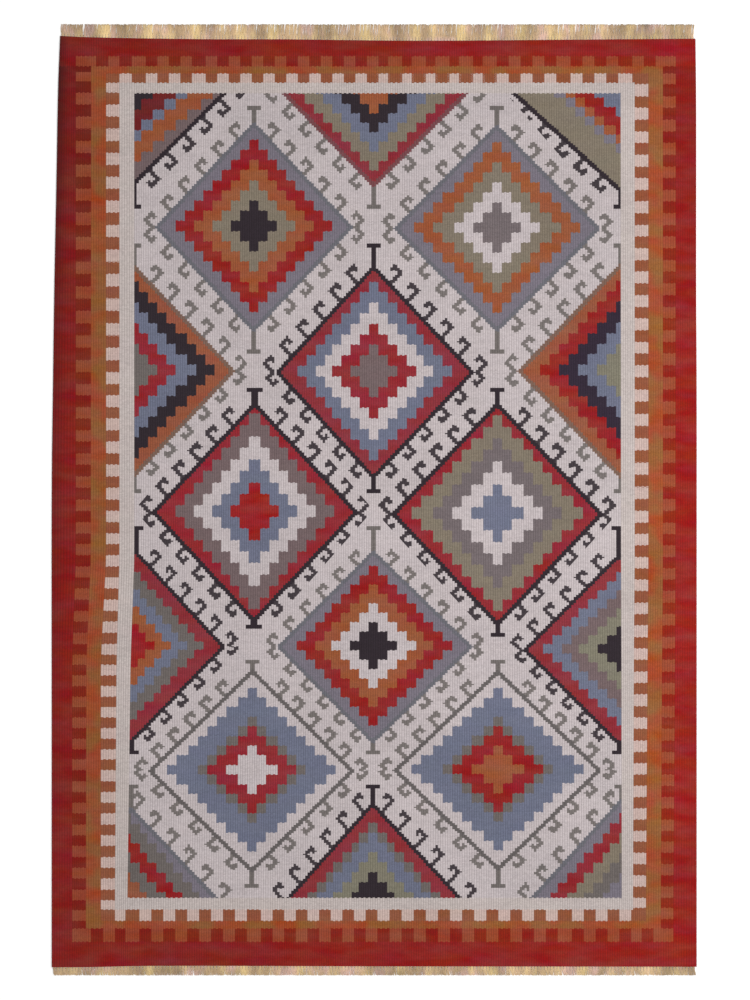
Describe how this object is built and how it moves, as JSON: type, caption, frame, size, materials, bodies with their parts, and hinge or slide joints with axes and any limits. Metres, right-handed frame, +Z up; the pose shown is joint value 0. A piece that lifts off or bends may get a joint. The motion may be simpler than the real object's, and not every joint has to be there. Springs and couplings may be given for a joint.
{
  "type": "flat-woven kilim rug",
  "caption": "Rectangular flat-woven wool kilim with hooked lozenges, a toothed double border and short warp fringe at both ends; covers a floor.",
  "frame": {"origin": "centre of the bounding box on its underside, where the rug lies on the floor", "axes": "+Y along the rug's length towards the end with the longer fringe, +X across its width, +Z up from the floor"},
  "size_m": [1.6004, 2.36, 0.004],
  "materials": {
    "woven_wool": "matt flat-woven wool in red, orange, white, blue, grey-green and black",
    "warp_yarn": "matt undyed cream warp yarn"
  },
  "bodies": {
    "root": {"kilim_cloth": "woven_wool", "fringe_upper": "warp_yarn", "fringe_lower": "warp_yarn"}
  },
  "joints": []
}
